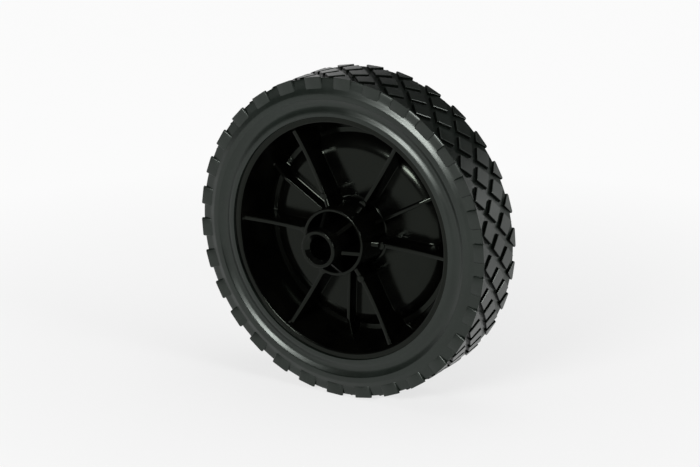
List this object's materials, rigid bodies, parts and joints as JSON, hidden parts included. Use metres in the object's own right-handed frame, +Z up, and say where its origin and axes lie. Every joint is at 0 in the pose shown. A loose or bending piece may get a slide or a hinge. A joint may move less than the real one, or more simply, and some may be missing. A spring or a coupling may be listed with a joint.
{
  "type": "lawn mower wheel",
  "caption": "Small lawn mower wheel: a black rubber tyre with a diamond block tread on a ribbed plastic hub with a long centre tube and a plain axle bore.",
  "frame": {"origin": "the wheel's centre, on the axle's line in the middle of the tyre's width", "axes": "+Y along the axle from the ribbed side to the plain side, +Z up with the wheel upright, +X to the right seen from the ribbed side"},
  "size_m": [0.178, 0.0561, 0.178],
  "materials": {
    "tyre": "moulded rubber, dull, dusty greenish grey black",
    "hub": "moulded polypropylene, black, satin"
  },
  "bodies": {
    "root": {"tyre": "tyre", "hub": "hub"}
  },
  "joints": []
}
